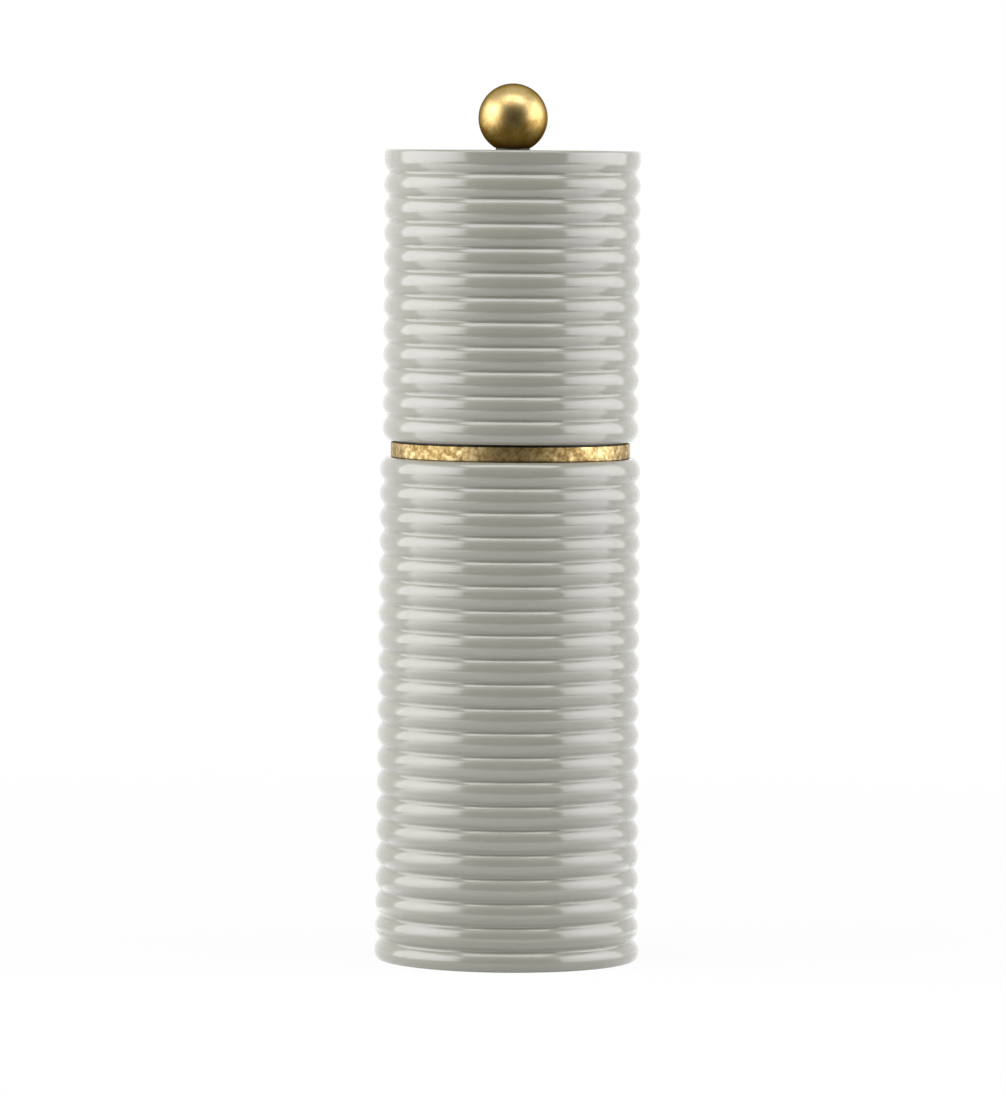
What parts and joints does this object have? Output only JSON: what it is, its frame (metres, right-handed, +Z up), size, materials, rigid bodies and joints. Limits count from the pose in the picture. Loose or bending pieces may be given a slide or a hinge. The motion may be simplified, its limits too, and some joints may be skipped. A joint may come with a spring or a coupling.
{
  "type": "pepper mill",
  "caption": "Tall turned pepper mill: ribbed wooden body and turning ribbed head, gold band, brass ball knob on a square shaft, ceramic grinder inside.",
  "frame": {"origin": "centre of the foot, on the surface the mill stands on", "axes": "+Z up along the mill's axis, the axis the head and the shaft turn about; X and Y lie in the table's plane, the bridge's arms along X"},
  "size_m": [0.0728, 0.0728, 0.2405],
  "materials": {
    "lacquered_wood": "warm pale grey high-gloss lacquer on turned beech",
    "gold_band": "mottled antique gold, satin",
    "brushed_brass": "satin, brushed round the axis",
    "brass": "turned",
    "black_nylon": "matte",
    "black_washer": "matte",
    "white_nylon": "slightly translucent nylon, matte",
    "black_moulding": "fine moulded texture",
    "ceramic": "fired white, unglazed",
    "stainless": "brushed",
    "spring_steel": "drawn wire and stamped clips",
    "screw_steel": "zinc plated",
    "shaft_aluminium": "drawn bar, satin"
  },
  "bodies": {
    "casing": {"body_casing": "lacquered_wood", "band_ring": "gold_band", "mechanism_housing": "black_moulding", "housing_screws": "screw_steel", "stator": "ceramic", "stator_clip": "spring_steel", "bridge": "stainless", "bridge_screws": "screw_steel", "spring": "spring_steel"},
    "thrust": {"thrust_washer": "stainless"},
    "drive": {"drive_shaft": "shaft_aluminium", "rotor": "ceramic", "rotor_hub": "black_moulding", "shaft_sleeve": "white_nylon", "rotor_washer": "stainless", "shaft_clip": "spring_steel"},
    "glide": {"glide_ring": "black_nylon"},
    "head": {"head_casing": "lacquered_wood", "drive_plate": "stainless", "drive_plate_screws": "screw_steel", "top_bush": "brass"},
    "knob_seat": {"knob_washer": "black_washer"},
    "knob": {"ball_knob": "brushed_brass", "lock_insert": "white_nylon"}
  },
  "joints": [
    {"name": "head_lift", "type": "slide", "parent": "casing", "child": "glide", "axis": [0, 0, 1], "range_m": [0, 0.125]},
    {"name": "head_turn", "type": "hinge", "parent": "glide", "child": "head", "pos_m": [0, 0, 0.18], "axis": [0, 0, 1], "continuous": true},
    {"name": "knob_lift", "type": "slide", "parent": "head", "child": "knob_seat", "axis": [0, 0, 1], "range_m": [0, 0.03]},
    {"name": "knob_turn", "type": "hinge", "parent": "knob_seat", "child": "knob", "pos_m": [0, 0, 0.231], "axis": [0, 0, 1], "range_deg": [-180, 360]},
    {"name": "grind_adjust", "type": "slide", "parent": "casing", "child": "thrust", "axis": [0, 0, 1], "range_m": [-0.0008, 0.0004], "deforming": ["spring"]},
    {"name": "shaft_turn", "type": "hinge", "parent": "thrust", "child": "drive", "pos_m": [0, 0, 0.016], "axis": [0, 0, 1], "continuous": true}
  ],
  "couplings": [
    {"joint": "shaft_turn", "follows": "head_turn", "ratio": 1},
    {"joint": "knob_turn", "follows": "grind_adjust", "rad_per_m": -7854}
  ]
}
